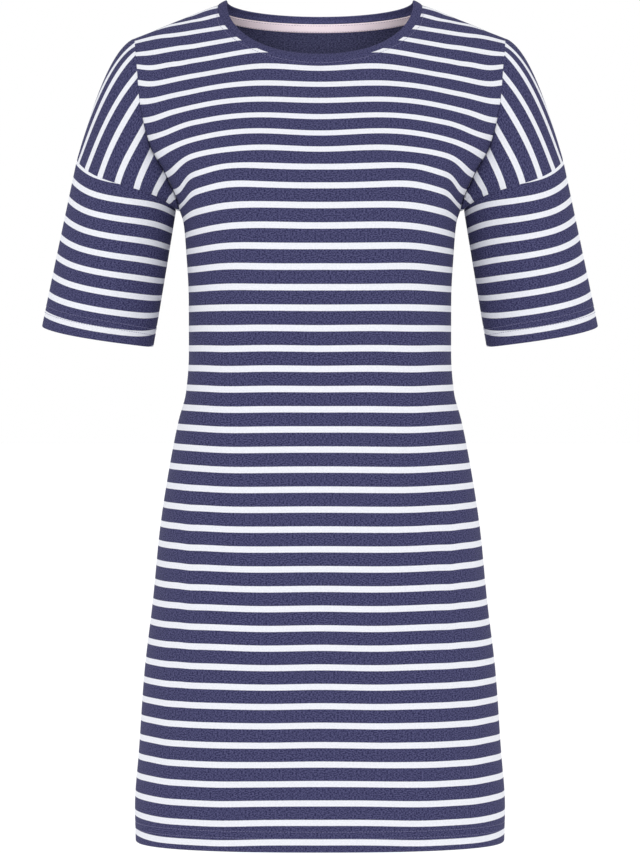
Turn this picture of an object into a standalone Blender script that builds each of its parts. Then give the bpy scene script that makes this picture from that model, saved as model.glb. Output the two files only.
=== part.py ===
"""Striped jersey nightshirt, filled out as worn, with no wearer inside.

Metres, +Z up, front towards -Y. The origin is the middle of the neck opening at the height of the
shoulders, where a wearer carries it. Each piece is one closed wall of cloth: an outer grid of points worked
out from the sizes below, and an inner grid one cloth thickness inside it. Pieces that are sewn together
share the same seam points and stand a small gap apart there.
"""

import math

import bpy
import numpy as np

# Cloth
WALL = 0.0012            # one layer of jersey
RIB_WALL = 0.0022        # the neckband is folded double
TAPE_WALL = 0.0010
SEAM_GAP = 0.0003        # between sewn pieces, and between a piece and what lies on it

# Whole garment
LENGTH = 0.887           # high shoulder point to hem
UNDERARM = -0.225        # height of the underarm point
HEM_DEPTH = 0.0225       # turned up inside the body
CUFF_HEM_DEPTH = 0.0225  # turned up inside each sleeve
HEM_STEP = 0.0015        # over which the turned edge gains its second layer

# Shoulder line
SHOULDER_TOP = -0.0028
SHOULDER_SLOPE = 0.412
SHOULDER_STARTS = 0.1045  # distance from the middle at which the slope begins
SHOULDER_EASE = 0.006     # length over which it begins
SHOULDER_TIP = 0.1966     # where the sleeve is sewn on
SLOPE_ENDS = 0.220        # height drop below which the shoulder slope no longer shapes the chest
SLOPE_FULL = 0.080

# Neck, as quarter ellipses, but for the band's squarer front edge. That edge ends at the origin's
# height on the shoulders.
NECK_SEAM_WIDTH = 0.1085
NECK_TOP_WIDTH = 0.0990
FRONT_NECK_DROP = 0.0675
BACK_NECK_DROP = 0.0219
BAND_FRONT_DROP = 0.0605
BAND_BACK_DROP = 0.0155
BAND_FRONT_SQUARENESS = 2.15
BAND_BACK_SQUARENESS = 2.0
BAND_LEAN = 0.91          # depth of the band's top edge as a share of its seam's
TAPE_WIDTH = 0.0105       # over the neck seam inside the back, shoulder to shoulder
PATCH_ENDS = 0.0135       # the plain half moon inside the back neck, at its two ends
PATCH_MIDDLE = 0.066      # and at its middle

# How square the horizontal sections are: 2 is an ellipse
FRONT_SQUARENESS = 2.5
BACK_SQUARENESS = 2.35

# Half width of the body at each height. Above the underarm the section is cut off by the armhole,
# and this is where it would have closed.
BODY_WIDTH = (  # height, half width
    (0.010, 0.3000),
    (-0.050, 0.2800),
    (-0.100, 0.2440),
    (-0.127, 0.2130),
    (-0.159, 0.1880),
    (-0.184, 0.1686),
    (-0.204, 0.1562),
    (-0.215, 0.1507),
    (-0.225, 0.1478),
    (-0.236, 0.1442),
    (-0.267, 0.1412),
    (-0.320, 0.1384),
    (-0.375, 0.1383),
    (-0.415, 0.1412),
    (-0.445, 0.1490),
    (-0.500, 0.1597),
    (-0.560, 0.1687),
    (-0.635, 0.1761),
    (-0.711, 0.1850),
    (-0.790, 0.1905),
    (-0.851, 0.1948),
    (-0.895, 0.1938),
)

# Middle of the front and back, by the drop below the shoulder line: where the side seam lies,
# and how far the front and the back stand out from it.
PROFILE = (  # drop, side seam y, front, back
    (0.000, 0.000, 0.0000, 0.0000),
    (0.005, 0.000, 0.0160, 0.0150),
    (0.015, 0.000, 0.0275, 0.0270),
    (0.030, -0.001, 0.0385, 0.0400),
    (0.050, -0.002, 0.0500, 0.0530),
    (0.068, -0.003, 0.0605, 0.0625),
    (0.100, -0.005, 0.0810, 0.0760),
    (0.125, -0.007, 0.0965, 0.0850),
    (0.150, -0.009, 0.1090, 0.0920),
    (0.175, -0.011, 0.1190, 0.0965),
    (0.200, -0.012, 0.1255, 0.0990),
    (0.225, -0.014, 0.1290, 0.0990),
    (0.250, -0.015, 0.1290, 0.0970),
    (0.300, -0.017, 0.1200, 0.0890),
    (0.350, -0.018, 0.1090, 0.0810),
    (0.400, -0.019, 0.1010, 0.0820),
    (0.450, -0.020, 0.1010, 0.0920),
    (0.520, -0.022, 0.1060, 0.1060),
    (0.600, -0.023, 0.1120, 0.1130),
    (0.700, -0.024, 0.1170, 0.1180),
    (0.800, -0.025, 0.1210, 0.1210),
    (0.900, -0.025, 0.1250, 0.1230),
)

# Armhole seam of the body in front view
ARMHOLE = (  # height, distance from the middle
    (-0.2250, 0.1478),
    (-0.2150, 0.1497),
    (-0.2040, 0.1540),
    (-0.1840, 0.1635),
    (-0.1590, 0.1775),
    (-0.1410, 0.1829),
    (-0.1270, 0.1862),
    (-0.1040, 0.1900),
    (-0.0715, 0.1930),
    (-0.0540, 0.1950),
    (-0.0385, 0.1966),
)

# Where the lengthwise lines of the shoulder panel meet the armhole. The turn goes round the arm,
# 0 at the outside and 180 at the underarm.
CAP_LINES = (  # turn in degrees, height
    (0.0, -0.0406),
    (12.0, -0.0490),
    (37.0, -0.0800),
    (56.0, -0.1050),
    (78.0, -0.1350),
    (99.0, -0.1605),
    (123.0, -0.1865),
    (141.0, -0.2055),
    (154.0, -0.2165),
    (167.0, -0.2228),
    (180.0, -0.2250),
)

# Sleeve rings of the wearer's left side, +X: an oval whose long axis runs from the underarm side to
# the outer side. Its two ends curl along the arm, and its front dips.
SLEEVE_RINGS = (  # share of lower sleeve, x, y, height, half width, half depth, tilt in degrees, curl, dip
    (0.0, 0.2045, -0.0140, -0.1970, 0.0548, 0.0500, 16.6, 0.0106, 0.0024),
    (1.0, 0.2347, -0.0170, -0.3568, 0.0596, 0.0520, 8.9, 0.0014, 0.0038),
)

# Shoulder panel: each lengthwise line is a cubic from the armhole to the lower sleeve
CAP_LEAVES = (0.92, 0.0, -0.39)     # its direction at the shoulder tip
CAP_ARRIVES = (0.276, 0.0, -0.961)  # and at the top of the lower sleeve
CAP_LIFT = 0.009                    # how far the front and back lines swell
CAP_LOWER_LIFT = 0.0045             # and how far at their lower handles
CAP_HANDLE = 0.33                   # length of a handle, as a share of the line
CAP_OUTER_LEAVE = 0.18              # and on the outside of the arm, at the shoulder
CAP_OUTER_ARRIVE = 0.47             # and at the lower sleeve
CAP_UNDERARM_POWER = 8              # how near the underarm the lines run straight

# Soft folds, each a trough or ridge along a line in front view
FOLDS = (  # side, x0, z0, x1, z1, half width, depth; a negative depth is a trough
    ("front", 0.1440, -0.236, 0.1400, -0.168, 0.0085, -0.0050),
    ("front", 0.1290, -0.232, 0.1230, -0.176, 0.0120, 0.0025),
    ("back", 0.1400, -0.240, 0.1250, -0.150, 0.0120, -0.0055),
    ("back", 0.1150, -0.250, 0.0950, -0.150, 0.0150, 0.0030),
    ("back", 0.0900, -0.300, 0.0750, -0.450, 0.0200, -0.0050),
    ("back", 0.0500, -0.340, 0.0600, -0.560, 0.0220, 0.0030),
    ("front", 0.0950, -0.560, 0.1250, -0.890, 0.0300, 0.0030),
    ("back", 0.0800, -0.600, 0.1000, -0.890, 0.0300, -0.0040),
)
FOLD_FADE = 0.25       # share of a fold's length over which it fades at each end
FOLD_SEAM_FADE = 0.15  # share of the half width over which folds fade to nothing at a side seam

# Grid counts
NECK_COLUMNS = 8
SHOULDER_COLUMNS = 6
ROW_CROWDING = 2.4        # above 1, rows stand closer together at the shoulder
EDGE_PULL = 3             # how near the armhole the columns bend to its points
ARM_ROWS = 14             # up each side of the armhole, and half of those round a sleeve
BODY_ROWS = 17
CAP_ROWS = 6
CUFF_ROWS = 6
BAND_ROWS = 4
PATCH_COLUMNS = 6         # of the neck columns each side of the middle
PATCH_ROWS = 6
TAPE_ROWS = 2
SHARP_EDGE = 40.0         # degrees
RANK_UP = (0.0, 0.14, 1.0)  # orders the ends of a rim cell by height, then by depth and width
RANK_OUT = 0.33

# Finishes: colour, roughness
JERSEY = ((0.062, 0.063, 0.152, 1.0), 0.90)
RIB = ((0.062, 0.063, 0.145, 1.0), 0.92)
PLAIN_JERSEY = ((0.050, 0.051, 0.125, 1.0), 0.90)
TAPE = ((0.820, 0.660, 0.700, 1.0), 0.80)


def clear_scene():
    for thing in list(bpy.data.objects):
        bpy.data.objects.remove(thing, do_unlink=True)


def smooth_curve(table, column):
    """A monotone cubic through one column of a table, as a function of its first column."""
    rows = np.array([(row[0], row[column]) for row in table], float)
    knots, values = rows[np.argsort(rows[:, 0])].T
    steps = np.diff(knots)
    slopes = np.diff(values) / steps
    tangents = np.zeros_like(values)
    tangents[0], tangents[-1] = slopes[0], slopes[-1]
    same_way = slopes[:-1] * slopes[1:] > 0
    weight_a = 2 * steps[1:] + steps[:-1]
    weight_b = steps[1:] + 2 * steps[:-1]
    safe = np.where(same_way, slopes[:-1], 1.0), np.where(same_way, slopes[1:], 1.0)
    harmonic = (weight_a + weight_b) / (weight_a / safe[0] + weight_b / safe[1])
    tangents[1:-1] = np.where(same_way, harmonic, 0.0)

    def curve(at):
        at = np.clip(np.asarray(at, float), knots[0], knots[-1])
        cell = np.clip(np.searchsorted(knots, at) - 1, 0, len(steps) - 1)
        t = (at - knots[cell]) / steps[cell]
        start, end = values[cell], values[cell + 1]
        leave, arrive = tangents[cell] * steps[cell], tangents[cell + 1] * steps[cell]
        return (
            start * (1 + 2 * t) * (1 - t) ** 2
            + leave * t * (1 - t) ** 2
            + end * t * t * (3 - 2 * t)
            + arrive * t * t * (t - 1)
        )

    return curve


def ease(at):
    """0 below 0, 1 above 1, and a smooth step between."""
    t = np.clip(at, 0.0, 1.0)
    return t * t * (3 - 2 * t)


half_width = smooth_curve(BODY_WIDTH, 1)
armhole_x = smooth_curve(ARMHOLE, 1)
cap_line_height = smooth_curve(CAP_LINES, 1)
# The depths rise like a square root from the shoulder line, so they are read by the root of the drop.
ROOT_PROFILE = tuple((math.sqrt(row[0]), *row[1:]) for row in PROFILE)
side_y = smooth_curve(ROOT_PROFILE, 1)
DEPTH = {"front": smooth_curve(ROOT_PROFILE, 2), "back": smooth_curve(ROOT_PROFILE, 3)}
SQUARENESS = {"front": FRONT_SQUARENESS, "back": BACK_SQUARENESS}
TOWARDS = {"front": -1.0, "back": 1.0}
NECK_DROP = {"front": FRONT_NECK_DROP, "back": BACK_NECK_DROP}


def shoulder_drop(x):
    """How far the shoulder line has fallen at a distance from the middle."""
    beyond = (np.abs(x) - SHOULDER_STARTS) / SHOULDER_EASE
    return SHOULDER_SLOPE * SHOULDER_EASE * np.logaddexp(0.0, beyond)


def shoulder_height(x):
    return SHOULDER_TOP - shoulder_drop(x)


def body_y(side, x, z):
    """Depth of the body: the middle's profile, times a superellipse across the width."""
    shaped = ease((z + SLOPE_ENDS) / (SLOPE_ENDS - SLOPE_FULL))
    drop = np.maximum(SHOULDER_TOP - shoulder_drop(x) * shaped - z, 0.0)
    across = np.clip(np.abs(x) / half_width(z), 0.0, 1.0)
    power = SQUARENESS[side]
    section = (1 - across**power) ** (1 / power)
    return side_y(np.sqrt(np.maximum(-z, 0.0))) + TOWARDS[side] * DEPTH[side](np.sqrt(drop)) * section


def fold_depth(side, x, z):
    """Sum of the soft folds at a point of the body, each fading out at both ends."""
    depth = np.zeros_like(x)
    for where, x0, z0, x1, z1, width, height in FOLDS:
        if where != side:
            continue
        run = np.array([x1 - x0, z1 - z0])
        length = np.linalg.norm(run)
        along = ((np.abs(x) - x0) * run[0] + (z - z0) * run[1]) / length**2
        off = ((np.abs(x) - x0) * run[1] - (z - z0) * run[0]) / length
        fades = ease(along / FOLD_FADE) * ease((1 - along) / FOLD_FADE)
        depth += height * fades * np.exp(-((off / width) ** 2))
    return depth


def section_x(side, height, shares):
    """Distances from the middle that lie at even shares of a section's length."""
    turn = np.linspace(0, math.pi / 2, 400)
    x = half_width(height) * np.sin(turn)
    y = body_y(side, x, height)
    length = np.concatenate([[0], np.cumsum(np.hypot(np.diff(x), np.diff(y)))])
    return np.interp(shares * length[-1], length, x)


def neckline(side, turn):
    """The neck seam in front view: a quarter ellipse from the middle (turn 0) to the shoulder (turn 1)."""
    angle = turn * math.pi / 2
    x = NECK_SEAM_WIDTH * np.sin(angle)
    meets = shoulder_height(NECK_SEAM_WIDTH)
    return x, meets - (NECK_DROP[side] + meets) * np.cos(angle)


def top_edge(side):
    """Neck seam and shoulder seam of one half, in front view."""
    x_neck, z_neck = neckline(side, np.linspace(0, 1, NECK_COLUMNS + 1))
    x_shoulder = np.linspace(NECK_SEAM_WIDTH, SHOULDER_TIP, SHOULDER_COLUMNS + 1)[1:]
    x = np.concatenate([x_neck, x_shoulder])
    return x, np.concatenate([z_neck, shoulder_height(x_shoulder)])


def armhole_heights():
    """Heights of the armhole's seam points from the underarm up, and of the shoulder tip last."""
    turns = np.linspace(180, 0, ARM_ROWS + 1)
    heights = cap_line_height(turns)
    heights[-1] = shoulder_height(SHOULDER_TIP)
    return heights


def body_heights():
    """Heights of the rows from the hem up to just under the underarm, closer at the turned hem."""
    hem = [-LENGTH, -LENGTH + HEM_DEPTH, -LENGTH + HEM_DEPTH + HEM_STEP]
    rest = np.linspace(hem[-1], UNDERARM, BODY_ROWS - 1)[1:-1]
    return np.concatenate([hem, rest])


def half_body(side):
    """Grid of one half of the front or back, rows from the hem up, columns from the middle out."""
    count = NECK_COLUMNS + SHOULDER_COLUMNS
    shares = np.linspace(0, 1, count + 1)
    rows = []
    for height in body_heights():
        x = section_x(side, height, shares)
        rows.append((x, np.full_like(x, height)))
    x_low = section_x(side, UNDERARM, shares)
    x_top, z_top = top_edge(side)
    heights = armhole_heights()
    edge_x = armhole_x(heights)
    edge_x[-1] = SHOULDER_TIP
    for row, height in enumerate(heights):
        # A share by height for the edge, eased so that rows crowd at the shoulder line.
        v = (height - UNDERARM) / (heights[-1] - UNDERARM)
        crowd = 1 - (1 - row / ARM_ROWS) ** ROW_CROWDING
        v = (v + crowd) / 2
        x = (1 - v) * x_low + v * x_top
        z = (1 - v) * UNDERARM + v * z_top
        pull = shares**EDGE_PULL
        x = x + pull * (edge_x[row] - x[-1])
        z = z + pull * (height - z[-1])
        rows.append((x, z))
    x = np.array([row[0] for row in rows])
    z = np.array([row[1] for row in rows])
    fades = ease((1 - shares) / FOLD_SEAM_FADE)
    y = body_y(side, x, z) + TOWARDS[side] * fold_depth(side, x, z) * fades
    return np.stack([x, y, z], axis=-1)


def mirrored(grid):
    return grid * np.array([-1.0, 1.0, 1.0])


def body_panel(side):
    """Whole front or back: the half and its mirror image, columns from -X to +X."""
    half = half_body(side)
    return np.concatenate([mirrored(half)[:, :0:-1], half], axis=1)


def sleeve_turns():
    """Turns round the arm from the underarm, by the back and the outside, to the front and the underarm."""
    return np.linspace(-180, 180, 2 * ARM_ROWS + 1)


def armhole_ring(front, back):
    """The body's own armhole points of the left side, ordered as sleeve_turns."""
    front_edge = front[-(ARM_ROWS + 1):, -1]
    back_edge = back[-(ARM_ROWS + 1):, -1]
    return np.concatenate([back_edge, front_edge[:-1][::-1]])


def sleeve_ring(share):
    """Oval ring of the lower sleeve at a share of its length, ordered as sleeve_turns."""
    start, end = np.array(SLEEVE_RINGS)
    _, x, y, z, wide, deep, tilt, curl, dip = start + (end - start) * share
    tilt = math.radians(tilt)
    turn = np.radians(sleeve_turns())
    across, forward = np.cos(turn), np.sin(turn)
    return np.stack(
        [
            x + wide * math.cos(tilt) * across,
            y - deep * forward,
            z + wide * math.sin(tilt) * across + curl * across * np.abs(across) ** 3 - dip * forward,
        ],
        axis=-1,
    )


def unit(vectors):
    return vectors / np.maximum(np.linalg.norm(vectors, axis=-1, keepdims=True), 1e-12)


def sleeve_cap(front, back):
    """Shoulder panel: a cubic curve from each armhole point to the top of the lower sleeve."""
    low, high = sleeve_ring(0.0), armhole_ring(front, back)
    turn = np.radians(sleeve_turns())[:, None]
    chord = low - high
    reach = np.linalg.norm(chord, axis=1, keepdims=True)
    outside = np.where(np.abs(turn) < math.pi / 2, np.cos(turn) ** 2, 0.0)
    swell = np.sin(turn) * np.array([0.0, -1.0, 0.0])
    leaves = unit(outside * np.array(CAP_LEAVES) + (1 - outside) * unit(chord))
    inside = np.sin(turn / 2) ** CAP_UNDERARM_POWER
    arrives = unit((1 - inside) * np.array(CAP_ARRIVES) + inside * unit(chord))
    leave = CAP_HANDLE + (CAP_OUTER_LEAVE - CAP_HANDLE) * outside
    arrive = CAP_HANDLE + (CAP_OUTER_ARRIVE - CAP_HANDLE) * outside
    first = high + leaves * reach * leave + CAP_LIFT * swell
    second = low - arrives * reach * arrive + CAP_LOWER_LIFT * swell
    rows = []
    for t in np.linspace(0, 1, CAP_ROWS + 1):
        rows.append(
            (1 - t) ** 3 * high + 3 * t * (1 - t) ** 2 * first + 3 * t * t * (1 - t) * second + t**3 * low
        )
    return np.array(rows)


def lower_sleeve():
    """Straight lower sleeve, rows from its top seam to the hem, closer at the turned hem."""
    start, end = sleeve_ring(0.0), sleeve_ring(1.0)
    length = np.linalg.norm(end - start, axis=1).mean()
    turned = 1 - CUFF_HEM_DEPTH / length
    step = turned - HEM_STEP / length
    shares = np.concatenate([np.linspace(0, step, CUFF_ROWS), [turned, 1.0]])
    return np.array([sleeve_ring(share) for share in shares])


def neck_seam_ring(front, back):
    """Neck seam points, closed, starting at the left shoulder and going round by the front."""
    middle = front.shape[1] // 2
    span = slice(middle - NECK_COLUMNS, middle + NECK_COLUMNS + 1)
    return np.concatenate([front[-1, span], back[-1, span][-2::-1]])


def band_top_ring(count, seam):
    """Top edge of the neckband, above the matching seam points."""
    in_front = np.arange(count) < 2 * NECK_COLUMNS + 1
    x = seam[:, 0] * NECK_TOP_WIDTH / NECK_SEAM_WIDTH
    power = np.where(in_front, BAND_FRONT_SQUARENESS, BAND_BACK_SQUARENESS)
    height = np.clip(1 - np.abs(x / NECK_TOP_WIDTH) ** power, 0, 1) ** (1 / power)
    drop = np.where(in_front, BAND_FRONT_DROP, BAND_BACK_DROP)
    return np.stack([x, seam[:, 1] * BAND_LEAN, -drop * height], axis=-1)


def neckband(front, back):
    """Folded rib band from the neck seam up to its top edge."""
    seam = neck_seam_ring(front, back)
    top = band_top_ring(len(seam), seam)
    return np.array([seam + (top - seam) * share for share in np.linspace(0, 1, BAND_ROWS + 1)])


def grid_normals(grid):
    """Unit normals of a grid, by central differences, one-sided at its edges."""
    return unit(np.cross(np.gradient(grid, axis=1), np.gradient(grid, axis=0)))


def outward_normals(grid, centre_line):
    """Normals turned away from a line of points inside the piece, which a function gives."""
    normals = grid_normals(grid)
    away = np.sum(normals * (grid - centre_line(grid)))
    return normals if away > 0 else -normals


def body_middle(grid):
    """Points on the body's own axis at the height of each grid point."""
    return np.stack([grid[..., 0] * 0, side_y(np.sqrt(np.maximum(-grid[..., 2], 0))), grid[..., 2]], axis=-1)


def arm_middle(grid):
    """Middle of each of a sleeve grid's rings."""
    return np.broadcast_to(grid.mean(axis=1, keepdims=True), grid.shape)


def share_seam_normals(pieces):
    """Gives the points that sewn pieces share the mean of their normals, so that the walls stay apart."""
    sums = {}
    for piece in pieces:
        for index in edge_indices(piece["outer"]):
            key = tuple(np.round(piece["outer"][index] * 1e5).astype(int))
            sums.setdefault(key, []).append((piece, index))
    for members in sums.values():
        mean = unit(sum(piece["normals"][index] for piece, index in members))
        for piece, index in members:
            piece["normals"][index] = mean


def edge_indices(grid):
    rows, columns = grid.shape[:2]
    edge = [(r, c) for r in (0, rows - 1) for c in range(columns)]
    return edge + [(r, c) for r in range(1, rows - 1) for c in (0, columns - 1)]


def drawn_back(grid, normals, gap):
    """The grid with each edge moved in by a gap, square to that edge and along the cloth."""
    moved = grid.copy()
    for axis in (0, 1):
        lines, source, facing = (np.moveaxis(array, axis, 0) for array in (moved, grid, normals))
        for edge, inner in ((0, 1), (-1, -2)):
            tangent = np.gradient(source[edge], axis=0)
            square = unit(np.cross(facing[edge], tangent))
            inward = np.sum(square * (source[inner] - source[edge]), axis=-1, keepdims=True)
            lines[edge] += gap * square * np.sign(inward)
    return moved


def triangles(number):
    """Two triangles a cell of a grid of point numbers, mirrored about the middle column."""
    low_left, low_right = number[:-1, :-1], number[:-1, 1:]
    high_left, high_right = number[1:, :-1], number[1:, 1:]
    half = number.shape[1] // 2
    rising = [(low_left, low_right, high_right), (low_left, high_right, high_left)]
    falling = [(low_left, low_right, high_left), (low_right, high_right, high_left)]
    made = []
    for corners, columns in ((rising, slice(0, half)), (falling, slice(half, None))):
        for corner in corners:
            made.append(np.stack([array[:, columns].ravel() for array in corner], axis=-1))
    return np.concatenate(made)


def wall_object(piece, collection):
    """Closed mesh between the outer grid and the inner one, with a rim all round."""
    outer = drawn_back(piece["outer"], piece["normals"], SEAM_GAP / 2)
    inner = outer - piece["normals"] * piece["wall"][..., None]
    rows, columns = outer.shape[:2]
    points = np.concatenate([outer.reshape(-1, 3), inner.reshape(-1, 3)])
    number = np.arange(rows * columns).reshape(rows, columns)
    skin = triangles(number)
    rim = np.concatenate([number[0], number[1:, -1], number[-1, -2::-1], number[-2:0:-1, 0]])
    following = np.roll(rim, -1)
    under = rows * columns
    # Each rim cell's diagonal starts at its higher end, so that the rims along one seam are parallel.
    rank = points @ RANK_UP + np.abs(points[:, 0]) * RANK_OUT
    up = (rank[following] > rank[rim])[:, None]
    high, low = following + under, rim + under
    sides = [
        np.where(up, np.stack([following, rim, low], axis=-1), np.stack([following, rim, high], axis=-1)),
        np.where(up, np.stack([following, low, high], axis=-1), np.stack([rim, low, high], axis=-1)),
    ]
    faces = np.concatenate([skin, skin[:, ::-1] + under, *sides])
    # The rim runs the same way as the skin, so one test turns the whole mesh.
    corner = skin[len(skin) // 4]
    turn = np.cross(points[corner[1]] - points[corner[0]], points[corner[2]] - points[corner[0]])
    if np.dot(turn, piece["normals"].reshape(-1, 3)[corner[0]]) < 0:
        faces = faces[:, ::-1]
    mesh = bpy.data.meshes.new(piece["name"])
    mesh.from_pydata(points.tolist(), [], faces.tolist())
    mesh.materials.append(fabric_material(piece["name"], *piece["finish"]))
    mesh.shade_smooth()
    mesh.set_sharp_from_angle(angle=math.radians(SHARP_EDGE))
    made = bpy.data.objects.new(piece["name"], mesh)
    collection.objects.link(made)
    return made


def cloth(name, grid, finish, inside, wall=WALL, doubled=None):
    """One piece of cloth: its outer grid, normals, wall and finish. doubled marks a turned hem's rows."""
    walls = np.full(grid.shape[:2], wall)
    if doubled is not None:
        walls[doubled] = 2 * wall
    return {
        "name": name,
        "outer": grid,
        "normals": outward_normals(grid, inside),
        "wall": walls,
        "finish": finish,
    }


def mirrored_piece(piece, name):
    """The same piece on the other side of the body."""
    flip = np.array([-1.0, 1.0, 1.0])
    return {
        **piece,
        "name": name,
        "outer": piece["outer"] * flip,
        "normals": piece["normals"] * flip,
    }


def down_columns(points, distances):
    """Rows of points down each column of a grid, at given distances from its top edge."""
    made = np.empty((*distances.shape, 3))
    for column in range(points.shape[1]):
        line = points[::-1, column]
        reach = np.concatenate([[0], np.cumsum(np.linalg.norm(np.diff(line, axis=0), axis=1))])
        for axis in range(3):
            made[::-1, column, axis] = np.interp(distances[:, column], reach, line[:, axis])
    return made


def neck_lining(name, back, depth, distances, finish):
    """A strip inside the back neck, made from the panel's points, a set depth inside its outer face."""
    middle = back["outer"].shape[1] // 2
    reach = distances.shape[1] // 2
    span = slice(middle - reach, middle + reach + 1)
    outer, normals = back["outer"][:, span], back["normals"][:, span]
    strip = down_columns(outer - normals * depth, distances)
    return {
        "name": name,
        "outer": strip,
        "normals": unit(down_columns(outer, distances) - strip),
        "wall": np.full(strip.shape[:2], TAPE_WALL),
        "finish": finish,
    }


def tape_distances():
    """Even rows over the tape's width, on every neck column."""
    rows = np.linspace(0, TAPE_WIDTH, TAPE_ROWS + 1)
    return np.repeat(rows[:, None], 2 * NECK_COLUMNS + 1, axis=1)


def patch_distances():
    """The tape's rows, then on down to the edge of a half moon."""
    shares = np.linspace(-1, 1, 2 * PATCH_COLUMNS + 1)
    lengths = (PATCH_MIDDLE - PATCH_ENDS) * np.sqrt(1 - shares**2) + PATCH_ENDS - TAPE_WIDTH
    below = TAPE_WIDTH + np.linspace(0, 1, PATCH_ROWS + 1)[1:, None] * lengths
    return np.concatenate([tape_distances()[:, : len(shares)], below])


def fabric_material(name, colour, roughness):
    material = bpy.data.materials.new(name)
    material.use_nodes = True
    shader = material.node_tree.nodes["Principled BSDF"]
    shader.inputs["Base Color"].default_value = colour
    shader.inputs["Roughness"].default_value = roughness
    shader.inputs["Metallic"].default_value = 0.0
    material.diffuse_color = colour
    return material


def main():
    clear_scene()
    collection = bpy.data.collections.new("nightshirt")
    bpy.context.scene.collection.children.link(collection)
    front, back = body_panel("front"), body_panel("back")
    hem_rows = slice(0, 2)
    cuff_rows = slice(-2, None)
    cap = cloth("sleeve_cap_left", sleeve_cap(front, back), JERSEY, arm_middle)
    cuff = cloth("sleeve_lower_left", lower_sleeve(), JERSEY, arm_middle, doubled=cuff_rows)
    back_panel = cloth("back", back, JERSEY, body_middle, doubled=hem_rows)
    pieces = [
        cloth("front", front, JERSEY, body_middle, doubled=hem_rows),
        back_panel,
        cap,
        mirrored_piece(cap, "sleeve_cap_right"),
        cuff,
        mirrored_piece(cuff, "sleeve_lower_right"),
        cloth("neckband", neckband(front, back), RIB, body_middle, wall=RIB_WALL),
    ]
    share_seam_normals(pieces)
    under_patch = WALL + SEAM_GAP
    under_tape = under_patch + TAPE_WALL + SEAM_GAP
    pieces += [
        neck_lining("neck_patch", back_panel, under_patch, patch_distances(), PLAIN_JERSEY),
        neck_lining("neck_tape", back_panel, under_tape, tape_distances(), TAPE),
    ]
    for piece in pieces:
        wall_object(piece, collection)


main()
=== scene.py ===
"""Looks of a striped jersey nightshirt, filled out as worn, with no wearer inside.

Each solid of cloth gets a finer shell on its own form, with seams, hems, creases and stitching, and a
knitted finish whose stripes follow the cloth. Metres, +Z up, front towards -Y.
"""

import math

import bpy
import numpy as np
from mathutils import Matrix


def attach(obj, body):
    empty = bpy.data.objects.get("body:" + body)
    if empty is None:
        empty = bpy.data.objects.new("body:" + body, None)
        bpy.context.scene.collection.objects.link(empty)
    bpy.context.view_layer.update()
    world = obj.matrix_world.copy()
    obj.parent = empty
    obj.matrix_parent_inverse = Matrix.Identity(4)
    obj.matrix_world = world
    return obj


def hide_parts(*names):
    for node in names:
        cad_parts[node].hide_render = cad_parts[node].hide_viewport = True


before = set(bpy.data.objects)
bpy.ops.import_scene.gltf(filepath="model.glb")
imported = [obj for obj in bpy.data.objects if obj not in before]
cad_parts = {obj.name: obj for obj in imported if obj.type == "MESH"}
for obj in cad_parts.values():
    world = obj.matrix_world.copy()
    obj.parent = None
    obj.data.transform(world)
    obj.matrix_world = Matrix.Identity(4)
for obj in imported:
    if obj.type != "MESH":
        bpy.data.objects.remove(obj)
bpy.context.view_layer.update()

# Camera: level with the waist, and far enough away for the photograph's flat perspective
CAMERA_DISTANCE = 4.6
CAMERA_HEIGHT = -0.3816
CAMERA_SENSOR = 36.0     # millimetres along the picture's long side
CAMERA_SHIFT = -0.078    # of that side, by which the picture reaches further down than up
PICTURE_HEIGHT = 0.9042  # metres along that side, at the garment

# Cloth
WALL = 0.0012
RIB_WALL = 0.0022      # folded double
TAPE_WALL = 0.0010     # of the patch too
LAYER_GAP = 0.0003     # from the back to the patch, and from the patch to the tape
ROUND_SHARE = 0.92     # how far a free edge is rounded
SEAM_GROOVE = 0.00035  # how deep the cloth dips into a seam
SEAM_GROOVE_WIDTH = 0.0014

# Whole garment
LENGTH = 0.887        # high shoulder point to hem
UNDERARM = -0.225     # height of the underarm point
HEM_DEPTH = 0.0225
HEM_STEP = 0.0015     # over which the turned edge gains its second layer
HEM_ROWS = (  # heights of the grid's rows above the edge
    0.0, 0.0002, 0.0006, 0.0012, 0.003, 0.006, 0.010, 0.0128, 0.0137, 0.0143, 0.0149, 0.0158,
    0.018, 0.0195, 0.0204, 0.0210, 0.0216, 0.0225, 0.0237, 0.026,
)
HEM_STITCHES = (0.0143, 0.0210)  # two of those rows
HEM_PUCKER = 0.00035  # how deep a row of stitches pulls the cloth in
HEM_PUCKER_WIDTH = 0.0009

# Shoulder line
SHOULDER_TOP = -0.0028
SHOULDER_SLOPE = 0.412
SHOULDER_STARTS = 0.1045  # distance from the middle at which the slope begins
SHOULDER_EASE = 0.006     # length over which it begins
SHOULDER_TIP = 0.1966     # where the sleeve is sewn on
SLOPE_ENDS = 0.220        # drop below which the shoulder slope no longer shapes the chest
SLOPE_FULL = 0.080        # and above which it shapes it fully

# Neck: half widths from the middle, and drops of its lowest points below the origin
NECK_SEAM_WIDTH = 0.1085
NECK_TOP_WIDTH = 0.0990
FRONT_NECK_DROP = 0.0675
BACK_NECK_DROP = 0.0219
BAND_FRONT_DROP = 0.0605
BAND_BACK_DROP = 0.0155
BAND_FRONT_SQUARENESS = 2.15
BAND_BACK_SQUARENESS = 2.0
BAND_LEAN = 0.91      # depth of the band's top edge as a share of its seam's
BAND_SWELL = 0.0005
TAPE_WIDTH = 0.0105
PATCH_ENDS = 0.0135   # how far the patch reaches down at its two ends
PATCH_MIDDLE = 0.066  # and at its middle

# How square the horizontal sections are: 2 is an ellipse
FRONT_SQUARENESS = 2.5
BACK_SQUARENESS = 2.35

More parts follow.
